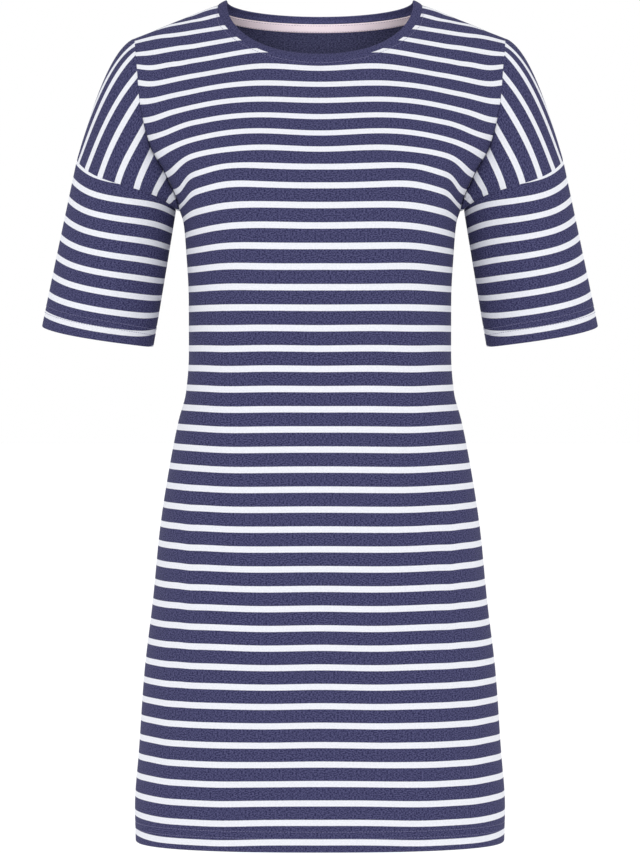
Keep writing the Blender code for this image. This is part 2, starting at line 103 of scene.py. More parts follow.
BODY_WIDTH = (  # height, half width
    (0.01, 0.3),
    (-0.05, 0.28),
    (-0.1, 0.244),
    (-0.127, 0.213),
    (-0.159, 0.188),
    (-0.184, 0.1686),
    (-0.204, 0.1562),
    (-0.215, 0.1507),
    (-0.225, 0.1478),
    (-0.236, 0.1442),
    (-0.267, 0.1412),
    (-0.32, 0.1384),
    (-0.375, 0.1383),
    (-0.415, 0.1412),
    (-0.445, 0.149),
    (-0.5, 0.1597),
    (-0.56, 0.1687),
    (-0.635, 0.1761),
    (-0.711, 0.185),
    (-0.79, 0.1905),
    (-0.851, 0.1948),
    (-0.895, 0.1938),
)

PROFILE = (  # drop, side seam y, front, back
    (0, 0, 0, 0),
    (0.005, 0, 0.016, 0.015),
    (0.015, 0, 0.0275, 0.027),
    (0.03, -0.001, 0.0385, 0.04),
    (0.05, -0.002, 0.05, 0.053),
    (0.068, -0.003, 0.0605, 0.0625),
    (0.1, -0.005, 0.081, 0.076),
    (0.125, -0.007, 0.0965, 0.085),
    (0.15, -0.009, 0.109, 0.092),
    (0.175, -0.011, 0.119, 0.0965),
    (0.2, -0.012, 0.1255, 0.099),
    (0.225, -0.014, 0.129, 0.099),
    (0.25, -0.015, 0.129, 0.097),
    (0.3, -0.017, 0.12, 0.089),
    (0.35, -0.018, 0.109, 0.081),
    (0.4, -0.019, 0.101, 0.082),
    (0.45, -0.02, 0.101, 0.092),
    (0.52, -0.022, 0.106, 0.106),
    (0.6, -0.023, 0.112, 0.113),
    (0.7, -0.024, 0.117, 0.118),
    (0.8, -0.025, 0.121, 0.121),
    (0.9, -0.025, 0.125, 0.123),
)

ARMHOLE = (  # height, distance from the middle
    (-0.225, 0.1478),
    (-0.215, 0.1497),
    (-0.204, 0.154),
    (-0.184, 0.1635),
    (-0.159, 0.1775),
    (-0.141, 0.1829),
    (-0.127, 0.1862),
    (-0.104, 0.19),
    (-0.0715, 0.193),
    (-0.054, 0.195),
    (-0.0385, 0.1966),
)

CAP_LINES = (  # turn in degrees, height at the armhole
    (0, -0.0406),
    (12, -0.049),
    (37, -0.08),
    (56, -0.105),
    (78, -0.135),
    (99, -0.1605),
    (123, -0.1865),
    (141, -0.2055),
    (154, -0.2165),
    (167, -0.2228),
    (180, -0.225),
)

SLEEVE_RINGS = (  # share of lower sleeve, x, y, height, half width, half depth, tilt in degrees, curl, dip
    (0, 0.2045, -0.014, -0.197, 0.0548, 0.05, 16.6, 0.0106, 0.0024),
    (1, 0.2347, -0.017, -0.3568, 0.0596, 0.052, 8.9, 0.0014, 0.0038),
)
CURL_POWER = 4  # how far out on a ring the curl sets in

# Shoulder panel: each lengthwise line is a cubic from the armhole to the lower sleeve
CAP_LEAVES = (0.92, 0.0, -0.39)  # its direction at the shoulder tip
CAP_ARRIVES = (0.276, 0.0, -0.961)  # and at the top of the lower sleeve
CAP_LIFT = 0.009         # how far the front and back lines swell
CAP_LOWER_LIFT = 0.0045  # and how far at their lower handles
CAP_HANDLE = 0.33        # length of a handle, as a share of the line
CAP_OUTER_LEAVE = 0.18   # and on the outside of the arm, at the shoulder
CAP_OUTER_ARRIVE = 0.47  # and at the lower sleeve
CAP_UNDERARM_POWER = 8   # how near the underarm the lines run straight

# Folds of the solids, the same on both halves
FOLDS = (  # side, x0, z0, x1, z1, half width, depth; a negative depth is a trough
    ("front", 0.144, -0.236, 0.14, -0.168, 0.0085, -0.005),
    ("front", 0.129, -0.232, 0.123, -0.176, 0.012, 0.0025),
    ("back", 0.14, -0.24, 0.125, -0.15, 0.012, -0.0055),
    ("back", 0.115, -0.25, 0.095, -0.15, 0.015, 0.003),
    ("back", 0.09, -0.3, 0.075, -0.45, 0.02, -0.005),
    ("back", 0.05, -0.34, 0.06, -0.56, 0.022, 0.003),
    ("front", 0.095, -0.56, 0.125, -0.89, 0.03, 0.003),
    ("back", 0.08, -0.6, 0.1, -0.89, 0.03, -0.004),
)
FOLD_FADE = 0.25       # share of a fold's length over which it fades at each end
FOLD_SEAM_FADE = 0.15  # share of the half width over which folds fade to nothing at a side seam

# Finer creases, each on one half only
CREASES = (  # side, x0, z0, x1, z1, half width, depth
    ("front", -0.1425, -0.228, -0.14, -0.18, 0.003, -0.0012),
    ("front", 0.143, -0.23, 0.1405, -0.184, 0.003, -0.0011),
    ("front", -0.112, -0.215, -0.095, -0.175, 0.009, 0.0008),
    ("front", 0.108, -0.22, 0.09, -0.182, 0.01, 0.0007),
    ("front", -0.12, -0.4, -0.07, -0.425, 0.007, -0.0008),
    ("front", 0.122, -0.392, 0.078, -0.412, 0.008, -0.0009),
    ("front", -0.06, -0.64, -0.08, -0.885, 0.017, -0.0011),
    ("front", 0.035, -0.66, 0.045, -0.885, 0.019, -0.001),
    ("front", 0.105, -0.62, 0.12, -0.88, 0.012, 0.0009),
    ("back", -0.133, -0.235, -0.118, -0.16, 0.0045, -0.0015),
    ("back", 0.134, -0.232, 0.115, -0.155, 0.0045, -0.0013),
    ("back", -0.09, -0.395, -0.025, -0.425, 0.008, -0.0015),
    ("back", 0.095, -0.405, 0.02, -0.44, 0.009, -0.0016),
    ("back", 0.08, -0.44, 0.015, -0.47, 0.009, 0.0011),
    ("back", -0.05, -0.6, -0.065, -0.88, 0.015, -0.0013),
    ("back", 0.03, -0.64, 0.035, -0.88, 0.018, 0.0012),
)

# White stripes of the body, each fifth below the bust: their heights, and the distances from the
# middle at which these are given, in millimetres
STRIPE_DISTANCES = (0, 63, 105, 126, 136, 147, 157, 179, 194)
STRIPES = (  # count from the first whole stripe below the neckband, height at each distance
    (-6, 28, 22, 3, -4, -8, -11, -13, -16, -19),
    (-5, 9, 6.5, -7.5, -13, -17, -19.5, -21, -24, -27),
    (-4, -8.5, -9.5, -17.5, -22.5, -24, -26, -27.5, -32.5, -37),
    (-3, -27, -28.5, -32.5, -35.5, -37, -38.5, -39.5, -41.5, -45.5),
    (-2, -42.5, -41.5, -47.5, -51, -52.5, -53.5, -55, -58.5, -59.5),
    (-1, -59.5, -57, -63.5, -67, -68.5, -70.5, -71.5, -74.5, -72.5),
    (0, -77, -74.5, -80, -83.5, -85, -87, -89, -92, -89.5),
    (1, -94.5, -93, -96.5, -100, -102, -104, -106, -110.5, -110.5),
    (2, -112, -110.5, -113.5, -117, -119, -121.5, -124, -130.5, -131),
    (3, -129.5, -127.5, -130.5, -134, -136, -139.5, -143.5, -149.5, -152),
    (4, -147, -144.5, -147.5, -151.5, -154, -157.5, -161.5, -171, -175),
    (5, -164, -162, -165, -168.5, -171.5, -178.5, -186.5, -193, -198),
    (6, -182.5, -181, -182.5, -188, -192, -204, -206, -213, -220),
    (7, -202, -200.5, -201.5, -206.5, -211.5, -221, -226, -233, -240),
    (8, -222.5, -221.5, -223.5, -227.5, -230.5, -236, -241, -250, -258),
    (9, -243.5, -242.5, -244.5, -248, -250, -252.5, -256, -264, -270),
    (10, -264.5, -264, -264.5, -267, -268, -269, -271, -276, -280),
    (15, -370, -369.5, -370, -369.5, -369.5, -369, -369, -368, -367.5),
    (20, -474, -474.5, -474.5, -473.5, -473, -472.5, -472, -471, -470.5),
    (25, -576.5, -577, -576.5, -576, -576, -575, -574.5, -572.5, -571.5),
    (30, -677.5, -678.5, -677.5, -677.5, -677.5, -677, -677, -676, -676),
    (35, -777, -778, -778, -778, -778, -778, -778, -776.5, -777),
    (40, -876.5, -877, -878.5, -878.5, -878.5, -878.5, -878.5, -877.5, -875.5),
    (41, -896.5, -897, -898.5, -898.5, -898.5, -898.5, -898.5, -897.5, -895),
)
REPEAT = 0.0206         # of the stripes, along the cloth
WHITE_SHARE = 0.312     # of the repeat that is white
STRIPE_EDGE = 0.012     # softness of a stripe's edge, as a share of the repeat
STRIPE_WANDER = 0.010   # and how far that edge wanders
SHOULDER_REACH = 0.035  # below the shoulder line, where stripes go by the cloth's length

# Lengthwise stripes of the shoulder panel, by distance round the arm from its outer line
CAP_STRIPES = (  # turn in degrees, millimetres round the arm at the armhole
    (-180, -165),
    (-143.5, -143),
    (-123, -127),
    (-101, -110),
    (-80, -92),
    (-57, -73),
    (-38, -55),
    (-12, -32),
    (0, -14),
    (12, -6),
    (20, 15),
    (38, 36),
    (57, 57),
    (80, 78),
    (101, 99),
    (123, 120),
    (143.5, 141),
    (180, 165),
)
CAP_FIRST_STRIPE = 0.015
CAP_REPEAT = 0.021
CAP_BOW = 0.0083      # the stripes swing this far forward half way down the outside
CAP_BOW_POWER = 2.7   # and less so towards front and back
CAP_BOW_SHAPE = 0.75  # and towards both seams

# Crosswise stripes of the lower sleeve, as shares of its length
CUFF_FIRST_STRIPE = 0.0738
CUFF_FIRST_RISE = 0.0433   # further down on the outside, and up at the underarm
CUFF_FIRST_BOW = 0.0205    # and down at front and back
CUFF_LAST_STRIPE = 0.918
CUFF_LAST_BOW = 0.011
CUFF_LAST_INSIDE = -0.035  # and up beside the underarm seam
CUFF_INSIDE_POWER = 6      # how near that seam
CUFF_LAST_COUNT = 7        # stripes from the first to the last

# Soft creases of the sleeves
SLEEVE_CREASES = (  # piece, turn0, share0, turn1, share1, half width, depth
    ("sleeve_cap_left", 150, 0.1, 120, 0.95, 0.006, -0.001),
    ("sleeve_cap_left", -150, 0.05, -105, 1, 0.008, -0.0016),
    ("sleeve_cap_right", 152, 0.15, 126, 1, 0.006, -0.0009),
    ("sleeve_cap_right", -148, 0, -112, 0.95, 0.007, -0.0015),
    ("sleeve_lower_left", 60, 0.05, 95, 0.95, 0.016, 0.001),
    ("sleeve_lower_left", -70, 0.1, -100, 0.95, 0.014, -0.0014),
    ("sleeve_lower_right", 75, 0, 50, 0.9, 0.015, 0.0009),
    ("sleeve_lower_right", -60, 0.05, -95, 0.95, 0.015, -0.0013),
)
SLEEVE_GIRTH = 0.34  # metres round the arm that a whole turn stands for

# Grids
NECK_COLUMNS = 40
SHOULDER_COLUMNS = 28
SEAM_SHARES = (0.0090, 0.0050, 0.0024, 0.0010)  # extra columns beside a side seam or armhole
ROW_CROWDING = 2.4   # above 1, rows stand closer together at the shoulder
EDGE_PULL = 3        # how near the armhole the columns bend to its points
ARM_ROWS = 66        # up each side of the armhole, and half of those round a sleeve
BODY_ROWS = 150
CAP_ROWS = 44
CAP_SEAM_ROWS = (0.0, 0.004, 0.010, 0.020)  # shares of the panel's length, beside each seam
CUFF_ROWS = 52
CUFF_SEAM_ROWS = (0.0, 0.003, 0.007, 0.014)  # and of the lower sleeve's, beside its upper seam
BAND_ROWS = (0.0, 0.04, 0.10, 0.2, 0.32, 0.45, 0.58, 0.7, 0.8, 0.88, 0.93, 0.965, 0.985, 1.0)
TAPE_ROWS = 6
PATCH_COLUMNS = 32
PATCH_ROWS = 16
SECTION_STEPS = 400  # along half a section, to measure its length
SHARP_EDGE = 50.0    # degrees
SHORTEST = 1e-12     # length that a direction is worked out from

# Stitching
STITCH = 0.0021
STITCH_SPACE = 0.0008
THREAD = 0.00050
STITCH_RINGS = 4
STITCH_SIDES = 6
STITCH_END = 0.45        # thickness of a stitch's ends, as a share of its middle's
STITCH_ARCH = 0.35       # how far its middle rises over its ends, in thicknesses
STITCH_SINK = 0.25       # and how deep those lie
STITCH_LIFT = 0.00012    # of every stitch over its line
NECK_STITCHES = 0.0039   # distance from the neck seam, square to it
NECK_STITCH_TURN = 0.30  # the least sine between a column and the seam
TAPE_STITCHES = (0.0012, 0.0093)
PATCH_STITCH_INSET = 0.0018

# Knit, rib and tape
WALE = 0.00085    # width of one column of stitches
COURSE = 0.00062  # height of one row of them
LEG_FALL = 1.4    # how much a stitch falls off beside the middle of each leg
KNIT_DEPTH = 0.00012
RIB_PITCH = 0.0014
RIB_KNIT = 0.3    # depth of its stitches, as a share of its ribs'
RIB_DEPTH = 0.00022
TWILL_PITCH = 0.0012
TWILL_SLANT = 1.4
TWILL_DEPTH = 0.0001

# Grain of the yarn: its height, and its length across as a multiple of that
JERSEY_GRAIN = (0.00108, 1.8)
RIB_GRAIN = (0.0010, 1.2)
EDGE_GRAIN = (0.0006, 1.5)
GRAIN_DETAIL = 2.0
GRAIN_ROUGHNESS = 0.6
GRAIN_RANGE = (0.3, 0.7)  # of the noise, spread over 0 to 1

# Finishes
CLOTH_SPECULAR = 0.2
JERSEY_ROUGHNESS = 0.9
RIB_ROUGHNESS = 0.92
TAPE_ROUGHNESS = 0.8
THREAD_ROUGHNESS = 0.6
FLOOR_ROUGHNESS = 0.9

# Colours, linear
PURE_WHITE = (1.0, 1.0, 1.0, 1.0)
NAVY_DARK = (0.0155, 0.0157, 0.059, 1.0)
NAVY_LIGHT = (0.083, 0.0825, 0.184, 1.0)
LINING_DARK = (0.021, 0.0215, 0.058, 1.0)
LINING_LIGHT = (0.076, 0.077, 0.160, 1.0)
WHITE_DARK = (0.75, 0.765, 0.83, 1.0)
WHITE_LIGHT = (0.84, 0.85, 0.90, 1.0)
# Pink of the tape: the first is painted shade in the grooves of its twill, the second its pink on the
# ridges
PINK_GROOVE_SHADE = (0.90, 0.755, 0.81, 1.0)
PINK_ON_RIDGES = (0.96, 0.82, 0.88, 1.0)
THREAD_BLUE = (0.17, 0.165, 0.30, 1.0)
THREAD_MAUVE = (0.30, 0.24, 0.33, 1.0)
FLOOR_COLOUR = (0.90, 0.90, 0.90, 1.0)

# Stage
FLOOR = 40.0        # from its middle to each edge
FLOOR_HEIGHT = -1.25
FLOOR_GLOW = 0.16
SURROUNDINGS = 1.0  # strength of the white all round
LIGHTS = (  # name, place, aim, size, power, spread in degrees
    ("key_light", (-1.8, -3.2, 1.2), (0.0, 0.0, -0.4), 2.2, 18.0, 180.0),
    ("fill_light", (2.2, -3.0, 0.2), (0.0, 0.0, -0.4), 2.2, 10.5, 180.0),
    ("neck_light", (0.0, -0.035, -0.03), (0.0, 0.07, -0.033), 0.12, 0.037, 140.0),
)


def smooth_curve(table, column):
    """A monotone cubic through one column of a table, as a function of its first column.

    Its slope at an inner knot is the weighted harmonic mean of those on both sides, or none at a turn.
    """
    rows = np.array([(row[0], row[column]) for row in table], float)
    knots, values = rows[np.argsort(rows[:, 0])].T
    steps = np.diff(knots)
    slopes = np.diff(values) / steps
    tangents = np.zeros_like(values)
    tangents[0], tangents[-1] = slopes[0], slopes[-1]
    same_way = slopes[:-1] * slopes[1:] > 0
    weight_a = 2 * steps[1:] + steps[:-1]
    weight_b = steps[1:] + 2 * steps[:-1]
    safe = np.where(same_way, slopes[:-1], 1.0), np.where(same_way, slopes[1:], 1.0)
    harmonic = (weight_a + weight_b) / (weight_a / safe[0] + weight_b / safe[1])
    tangents[1:-1] = np.where(same_way, harmonic, 0.0)

    def curve(at):
        at = np.clip(np.asarray(at, float), knots[0], knots[-1])
        cell = np.clip(np.searchsorted(knots, at) - 1, 0, len(steps) - 1)
        t = (at - knots[cell]) / steps[cell]
        start, end = values[cell], values[cell + 1]
        leave, arrive = tangents[cell] * steps[cell], tangents[cell + 1] * steps[cell]
        ends = start * (1 + 2 * t) * (1 - t) ** 2 + end * t * t * (3 - 2 * t)
        return ends + leave * t * (1 - t) ** 2 + arrive * t * t * (t - 1)

    return curve


def ease(at):
    """0 below 0, 1 above 1, and between them three times the square less twice the cube."""
    t = np.clip(at, 0.0, 1.0)
    return t * t * (3 - 2 * t)


half_width = smooth_curve(BODY_WIDTH, 1)
armhole_x = smooth_curve(ARMHOLE, 1)
cap_line_height = smooth_curve(CAP_LINES, 1)
cap_stripe_start = smooth_curve(CAP_STRIPES, 1)
# The profile goes by the root of the drop, which keeps the top of the garment round
ROOT_PROFILE = tuple((math.sqrt(row[0]), *row[1:]) for row in PROFILE)
side_y = smooth_curve(ROOT_PROFILE, 1)
DEPTH = {"front": smooth_curve(ROOT_PROFILE, 2), "back": smooth_curve(ROOT_PROFILE, 3)}
SQUARENESS = {"front": FRONT_SQUARENESS, "back": BACK_SQUARENESS}
TOWARDS = {"front": -1.0, "back": 1.0}
NECK_DROP = {"front": FRONT_NECK_DROP, "back": BACK_NECK_DROP}


def placed(name, data):
    """An object of some data, in the scene."""
    made = bpy.data.objects.new(name, data)
    bpy.context.scene.collection.objects.link(made)
    return made


def add_camera():
    """Level camera in front of the garment.

    Its lens is to its sensor as the distance is to the picture's height.
    """
    data = bpy.data.cameras.new("camera")
    data.sensor_width = CAMERA_SENSOR
    data.lens = CAMERA_SENSOR * CAMERA_DISTANCE / PICTURE_HEIGHT
    data.shift_y = CAMERA_SHIFT
    camera = placed("camera", data)
    camera.location = (0.0, -CAMERA_DISTANCE, CAMERA_HEIGHT)
    camera.rotation_euler = (math.pi / 2, 0.0, 0.0)
    bpy.context.scene.camera = camera


add_camera()


def shoulder_drop(x):
    """Drop of the shoulder line: a slope that comes in as the log of one plus an exponential."""
    beyond = (np.abs(x) - SHOULDER_STARTS) / SHOULDER_EASE
    return SHOULDER_SLOPE * SHOULDER_EASE * np.logaddexp(0.0, beyond)


def shoulder_height(x):
    """Height of the shoulder line: its top less its drop."""
    return SHOULDER_TOP - shoulder_drop(x)


def side_seam_y(z):
    """Place in depth of the side seam and of the body's middle axis, from the profile."""
    return side_y(np.sqrt(np.maximum(-z, 0.0)))


def body_y(side, x, z):
    """The cloth's place in depth.

    The side seam's, plus the middle's depth times a superellipse of the share of the half width. The
    middle's depth goes by the root of the drop below the shoulder line.
    """
    shaped = ease((z + SLOPE_ENDS) / (SLOPE_ENDS - SLOPE_FULL))
    drop = np.maximum(SHOULDER_TOP - shoulder_drop(x) * shaped - z, 0.0)
    across = np.clip(np.abs(x) / half_width(z), 0.0, 1.0)
    power = SQUARENESS[side]
    section = (1 - across**power) ** (1 / power)
    return side_seam_y(z) + TOWARDS[side] * DEPTH[side](np.sqrt(drop)) * section


def line_folds(table, key, a, b):
    """Sum of soft folds at points (a, b): each a bell across its line, fading out at both ends."""
    depth = np.zeros_like(a)
    for where, a0, b0, a1, b1, width, height in table:
        if where != key:
            continue
        run_a, run_b = a1 - a0, b1 - b0
        length = math.hypot(run_a, run_b)
        along = ((a - a0) * run_a + (b - b0) * run_b) / length**2
        off = ((a - a0) * run_b - (b - b0) * run_a) / length
        fades = ease(along / FOLD_FADE) * ease((1 - along) / FOLD_FADE)
        depth += fades * bell(off, width, height)
    return depth


def section_x(side, height, shares):
    """Distances from the middle that lie at given shares of a section's length.

    The length is the sum of short straight steps along the section.
    """
    turn = np.linspace(0, math.pi / 2, SECTION_STEPS)
    x = half_width(height) * np.sin(turn)
    y = body_y(side, x, height)
    length = np.concatenate([[0], np.cumsum(np.hypot(np.diff(x), np.diff(y)))])
    return np.interp(shares * length[-1], length, x)


def column_shares():
    """Even shares of a row from the middle out, with a few more close to its outer edge."""
    even = np.linspace(0, 1, NECK_COLUMNS + SHOULDER_COLUMNS + 1)[:-1]
    return np.concatenate([even, 1 - np.array(SEAM_SHARES), [1.0]])


def top_edge(side, shares):
    """Top edge of one half in front view: a quarter ellipse for the neck, then the shoulder line."""
    angle = np.linspace(0, math.pi / 2, NECK_COLUMNS + 1)
    meets = shoulder_height(NECK_SEAM_WIDTH)
    reach = (shares[NECK_COLUMNS + 1:] - shares[NECK_COLUMNS]) / (1 - shares[NECK_COLUMNS])
    x_shoulder = NECK_SEAM_WIDTH + (SHOULDER_TIP - NECK_SEAM_WIDTH) * reach
    z_neck = meets - (NECK_DROP[side] + meets) * np.cos(angle)
    x = np.concatenate([NECK_SEAM_WIDTH * np.sin(angle), x_shoulder])
    return x, np.concatenate([z_neck, shoulder_height(x_shoulder)])


def body_heights():
    """Heights of the rows: those of the hem, then even steps to just under the underarm."""
    hem = -LENGTH + np.array(HEM_ROWS)
    return np.concatenate([hem, np.linspace(hem[-1], UNDERARM, BODY_ROWS + 1)[1:-1]])


def armhole_heights():
    """Heights of the armhole's seam points, by even turns from the underarm to the tip."""
    heights = cap_line_height(np.linspace(180, 0, ARM_ROWS + 1))
    heights[-1] = shoulder_height(SHOULDER_TIP)
    return heights


def half_body(side):
    """Front view positions of one half of a panel, rows from the hem up, columns from the middle out.

    Up to the underarm the rows are level. Above it each is a mean of the underarm's row and the top edge,
    by a weight that rises with the height, and a power of a column's share pulls it to the armhole.
    """
    shares = column_shares()
    rows = []
    for height in body_heights():
        x = section_x(side, height, shares)
        rows.append((x, np.full_like(x, height)))
    x_low = section_x(side, UNDERARM, shares)
    x_top, z_top = top_edge(side, shares)
    heights = armhole_heights()
    edge_x = armhole_x(heights)
    edge_x[-1] = SHOULDER_TIP
    for row, height in enumerate(heights):
        v = (height - UNDERARM) / (heights[-1] - UNDERARM)
        crowd = 1 - (1 - row / ARM_ROWS) ** ROW_CROWDING
        v = (v + crowd) / 2
        x = (1 - v) * x_low + v * x_top
        z = (1 - v) * UNDERARM + v * z_top
        pull = shares**EDGE_PULL
        rows.append((x + pull * (edge_x[row] - x[-1]), z + pull * (height - z[-1])))
    return np.array([row[0] for row in rows]), np.array([row[1] for row in rows])


def body_panel(side):
    """Whole front or back as a grid of points, columns from -X to +X.

    Its depth is body_y, plus the folds and creases times what fades out at the side seams.
    """
    x, z = half_body(side)
    x = np.concatenate([-x[:, :0:-1], x], axis=1)
    z = np.concatenate([z[:, :0:-1], z], axis=1)
    shares = column_shares()
    fades = ease((1 - np.concatenate([shares[:0:-1], shares])) / FOLD_SEAM_FADE)
    folds = line_folds(FOLDS, side, np.abs(x), z) + line_folds(CREASES, side, x, z)
    return np.stack([x, body_y(side, x, z) + TOWARDS[side] * folds * fades, z], axis=-1)


def sleeve_turns():
    """Even turns round the arm: from the underarm by the back, the outside and the front."""
    return np.linspace(-180, 180, 2 * ARM_ROWS + 1)


def armhole_ring(front, back):
    """The body's own armhole points of the left side, ordered as sleeve_turns."""
    front_edge = front[-(ARM_ROWS + 1):, -1]
    back_edge = back[-(ARM_ROWS + 1):, -1]
    return np.concatenate([back_edge, front_edge[:-1][::-1]])


def sleeve_ring(share):
    """Oval ring of the lower sleeve at a share of its length, ordered as sleeve_turns.

    A tilted ellipse: the turn's cosine times a half width, its sine times a half depth. A power of the
    cosine curls its two ends, and the sine dips its front.
    """
    start, end = np.array(SLEEVE_RINGS)
    _, x, y, z, wide, deep, tilt, curl, dip = start + (end - start) * share
    tilt = math.radians(tilt)
    turn = np.radians(sleeve_turns())
    across, forward = np.cos(turn), np.sin(turn)
    curled = across * np.abs(across) ** (CURL_POWER - 1)
    height = z + wide * math.sin(tilt) * across + curl * curled - dip * forward
    return np.stack([x + wide * math.cos(tilt) * across, y - deep * forward, height], axis=-1)


def unit(vectors):
    """Vectors scaled to length 1."""
    return vectors / np.maximum(np.linalg.norm(vectors, axis=-1, keepdims=True), SHORTEST)


def cap_shares():
    """Even shares from the armhole to the lower sleeve, with more beside both seams."""
    near = np.array(CAP_SEAM_ROWS)
    return np.concatenate([near, np.linspace(0, 1, CAP_ROWS + 1)[2:-2], 1 - near[::-1]])


def sleeve_cap(front, back):
    """Shoulder panel: a cubic with two handles from each armhole point to the top of the lower sleeve.

    Both handles lie along the chord at the underarm and a set way on the outside: the first by the
    turn's squared cosine, the second by a power of the half turn's sine. The sine swells them to front
    and back.
    """
    low, high = sleeve_ring(0.0), armhole_ring(front, back)
    turn = np.radians(sleeve_turns())[:, None]
    chord = low - high
    reach = np.linalg.norm(chord, axis=1, keepdims=True)
    outside = np.where(np.abs(turn) < math.pi / 2, np.cos(turn) ** 2, 0.0)
    swell = np.sin(turn) * np.array([0.0, -1.0, 0.0])
    leaves = unit(outside * np.array(CAP_LEAVES) + (1 - outside) * unit(chord))
    inside = np.sin(turn / 2) ** CAP_UNDERARM_POWER
    arrives = unit((1 - inside) * np.array(CAP_ARRIVES) + inside * unit(chord))
    leave = CAP_HANDLE + (CAP_OUTER_LEAVE - CAP_HANDLE) * outside
    arrive = CAP_HANDLE + (CAP_OUTER_ARRIVE - CAP_HANDLE) * outside
    first = high + leaves * reach * leave + CAP_LIFT * swell
    second = low - arrives * reach * arrive + CAP_LOWER_LIFT * swell
    t = cap_shares()[:, None, None]
    return (1 - t) ** 3 * high + 3 * t * (1 - t) ** 2 * first + 3 * t * t * (1 - t) * second + t**3 * low


def cuff_shares():
    """Even shares of the lower sleeve from its top down, with more beside the seam and at the hem."""
    length = np.linalg.norm(sleeve_ring(1.0) - sleeve_ring(0.0), axis=1).mean()
    hem = 1 - np.array(HEM_ROWS)[::-1] / length
    return np.concatenate([CUFF_SEAM_ROWS, np.linspace(0, hem[0], CUFF_ROWS + 1)[2:-1], hem])


def middle_columns(grid, reach):
    """The columns of a grid up to a reach from its middle one."""
    middle = grid.shape[1] // 2
    return slice(middle - reach, middle + reach + 1)


def neck_seam_ring(front, back):
    """Neck seam points, closed: from the right shoulder round by the front and the back."""
    span = middle_columns(front, NECK_COLUMNS)
    return np.concatenate([front[-1, span], back[-1, span][-2::-1]])


def neckband(front, back):
    """Folded rib band: straight lines from the neck seam up to its top edge.

    That edge is narrower by a set share, and drops by a superellipse of the width.
    """
    seam = neck_seam_ring(front, back)
    in_front = np.arange(len(seam)) < 2 * NECK_COLUMNS + 1
    x = seam[:, 0] * NECK_TOP_WIDTH / NECK_SEAM_WIDTH
    power = np.where(in_front, BAND_FRONT_SQUARENESS, BAND_BACK_SQUARENESS)
    height = np.clip(1 - np.abs(x / NECK_TOP_WIDTH) ** power, 0, 1) ** (1 / power)
    drop = np.where(in_front, BAND_FRONT_DROP, BAND_BACK_DROP)
    top = np.stack([x, seam[:, 1] * BAND_LEAN, -drop * height], axis=-1)
    return seam + (top - seam) * np.array(BAND_ROWS)[:, None, None]


def outward(grid, middle):
    """Unit normals of a grid: cross products of its steps, turned away from points inside the piece."""
    normals = unit(np.cross(np.gradient(grid, axis=1), np.gradient(grid, axis=0)))
    return normals if np.sum(normals * (grid - middle)) > 0 else -normals


def body_middle(grid):
    """Points on the body's own axis at the height of each grid point."""
    height = grid[..., 2]
    return np.stack([height * 0, side_seam_y(height), height], axis=-1)


def reach_along(grid, axis):
    """Distance of each point from the first edge: the sum of the steps along one axis."""
    steps = np.linalg.norm(np.diff(grid, axis=axis), axis=-1)
    start = np.zeros_like(np.take(steps, [0], axis=axis))
    return np.concatenate([start, np.cumsum(steps, axis=axis)], axis=axis)


def edge_reach(grid, edges):
    """Distance from the nearest of the named edges: low and high rows, left and right columns."""
    down, across = reach_along(grid, 0), reach_along(grid, 1)
    reaches = {"low": down, "high": down[-1:] - down, "left": across, "right": across[:, -1:] - across}
    return np.minimum.reduce([reaches[name] for name in edges])


def rounding(reach, wall):
    """How far both faces of a wall draw in by a free edge: a quarter circle of half the wall."""
    radius = wall / 2
    near = np.clip(1 - reach / radius, 0, ROUND_SHARE)
    return radius * (1 - np.sqrt(1 - near**2))


def picked(array, index):
    """Each point's entry, by its index along the array's first axis."""
    return np.take_along_axis(array, index[None], axis=0)[0]


def stripe_count(x, z):
    """Count of the stripe at a point of the body.

    A monotone cubic in the height for each distance in the table, then a cubic spline across the
    distances. The first of these are mirrored, so that the stripes run level across the middle.
    """
    knots = np.array(STRIPE_DISTANCES) / 1000
    knots = np.concatenate([-knots[2:0:-1], knots])
    heights = np.array([row[1:] for row in STRIPES]) / 1000
    heights = np.concatenate([heights[:, 2:0:-1], heights], axis=1)
    counts = np.array([row[0] for row in STRIPES], float)
    curves = [smooth_curve(tuple(zip(column, counts)), 1) for column in heights.T]
    values = np.array([curve(z) for curve in curves])
    steps = np.diff(knots)
    size = len(knots)
    system = np.eye(size)
    right = np.zeros((size, size))
    for k in range(1, size - 1):
        system[k, k - 1: k + 2] = steps[k - 1], 2 * (steps[k - 1] + steps[k]), steps[k]
        right[k, k - 1: k + 2] = 6 / steps[k - 1], -6 / steps[k - 1] - 6 / steps[k], 6 / steps[k]
    bends = np.tensordot(np.linalg.solve(system, right), values, axes=1)
    at = np.clip(np.abs(x), 0, knots[-1])
    cell = np.clip(np.searchsorted(knots, at) - 1, 0, size - 2)
    step = steps[cell]
    b = (at - knots[cell]) / step
    a = 1 - b
    flat = a * picked(values, cell) + b * picked(values, cell + 1)
    bend = (a**3 - a) * picked(bends, cell) + (b**3 - b) * picked(bends, cell + 1)
    return flat + bend * step**2 / 6


def body_stripe_count(grid):
    """Stripe count over a panel: the table's, summed up each column.

    Near the shoulder line, a step up adds at least its own length over the repeat.
    """
    counts = stripe_count(grid[..., 0], grid[..., 2])
    by_length = np.linalg.norm(np.diff(grid, axis=0), axis=-1) / REPEAT
    below_line = shoulder_height(grid[1:, :, 0]) - grid[1:, :, 2]
    near = 1 - ease(below_line / SHOULDER_REACH)
    rises = -np.diff(counts, axis=0)
    rises += near * np.maximum(by_length - rises, 0)
    return counts[0] - np.concatenate([np.zeros_like(counts[:1]), np.cumsum(rises, axis=0)])


